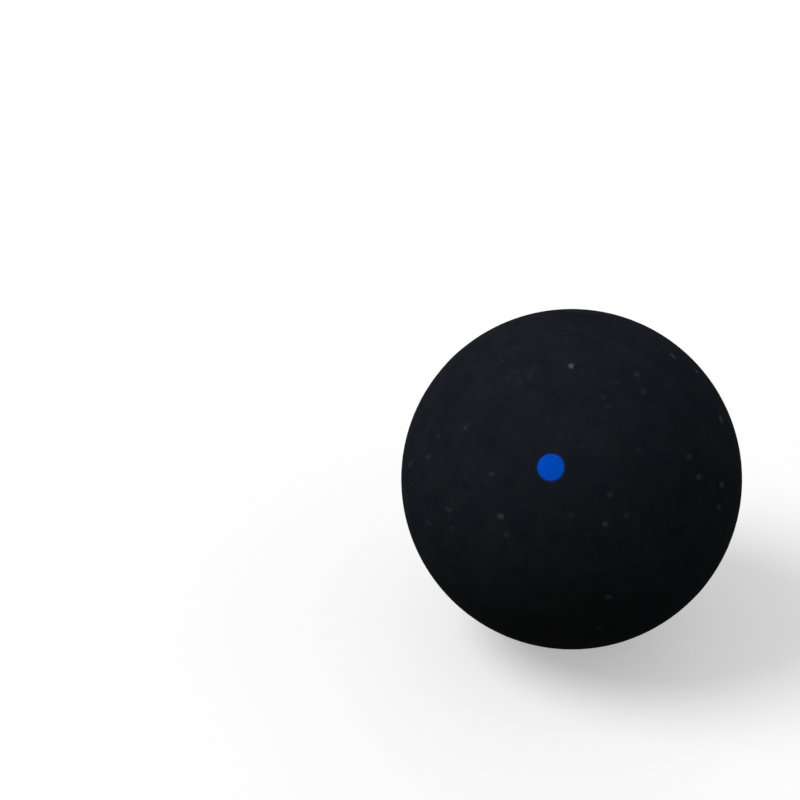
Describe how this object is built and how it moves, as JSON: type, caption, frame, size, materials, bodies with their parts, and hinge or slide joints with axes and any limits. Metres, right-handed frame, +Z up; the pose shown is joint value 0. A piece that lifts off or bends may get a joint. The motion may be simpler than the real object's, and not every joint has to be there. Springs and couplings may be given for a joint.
{
  "type": "squash ball",
  "caption": "Small hollow matt black rubber ball for squash: moulded half shells bonded at a flush seam, with a flat blue speed dot stamped on the front half.",
  "frame": {"origin": "the ball's centre", "axes": "+Z is up as the ball rests; the half shells meet in the XZ plane, and the pole of the front half shell, which carries the dot, points to -Y"},
  "size_m": [0.04, 0.04, 0.04],
  "materials": {
    "ball_rubber": "matte",
    "rubber_solution": "matte",
    "dot_film": "matte"
  },
  "bodies": {
    "root": {"half_shell_front": "ball_rubber", "half_shell_back": "ball_rubber", "bond_film": "rubber_solution", "speed_dot": "dot_film"}
  },
  "joints": []
}
